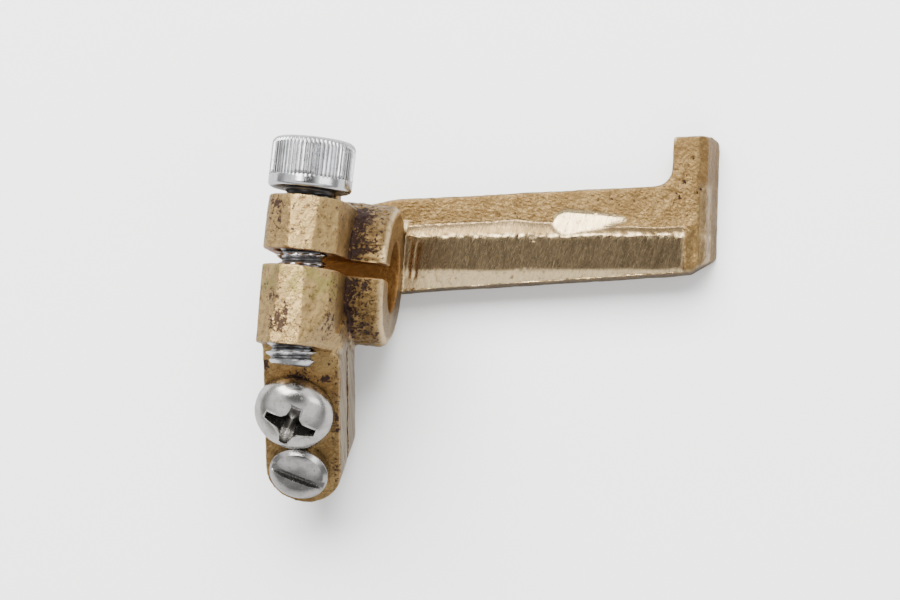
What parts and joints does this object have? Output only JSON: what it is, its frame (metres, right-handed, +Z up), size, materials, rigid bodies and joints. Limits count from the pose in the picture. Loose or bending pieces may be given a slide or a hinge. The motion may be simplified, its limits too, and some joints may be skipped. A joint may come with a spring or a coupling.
{
  "type": "split clamp arm",
  "caption": "Cast brass arm with a split barrel that clamps a 6 mm rod, a sawn tongue that pinches a thin strip with two screws, and a bent tab at its far end.",
  "frame": {"origin": "centre of the rod bore, at the barrel's mid length", "axes": "+X along the bore towards the arm's tab, +Y along the clamp screw towards its head, +Z up from the surface that the part lies on"},
  "size_m": [0.0364, 0.0347, 0.0202],
  "materials": {
    "cast_brass": "as cast and hand filed",
    "bright_steel": "bright plated",
    "satin_steel": "satin",
    "dark_steel": "dull"
  },
  "bodies": {
    "clamp_arm": {"clamp_arm": "cast_brass"},
    "clamp_screw": {"clamp_screw": "bright_steel"},
    "pan_screw": {"pan_screw": "satin_steel"},
    "slotted_screw": {"slotted_screw": "dark_steel"}
  },
  "joints": [
    {"name": "clamp_screw_travel", "type": "slide", "parent": "clamp_arm", "child": "clamp_screw", "axis": [0, 1, 0], "range_m": [-0.0006, 0.0079]},
    {"name": "pan_screw_travel", "type": "slide", "parent": "clamp_arm", "child": "pan_screw", "axis": [0, -0.5948, 0.8039], "range_m": [0, 0.0035]},
    {"name": "slotted_screw_travel", "type": "slide", "parent": "clamp_arm", "child": "slotted_screw", "axis": [0, -0.5948, 0.8039], "range_m": [0, 0.0035]}
  ]
}
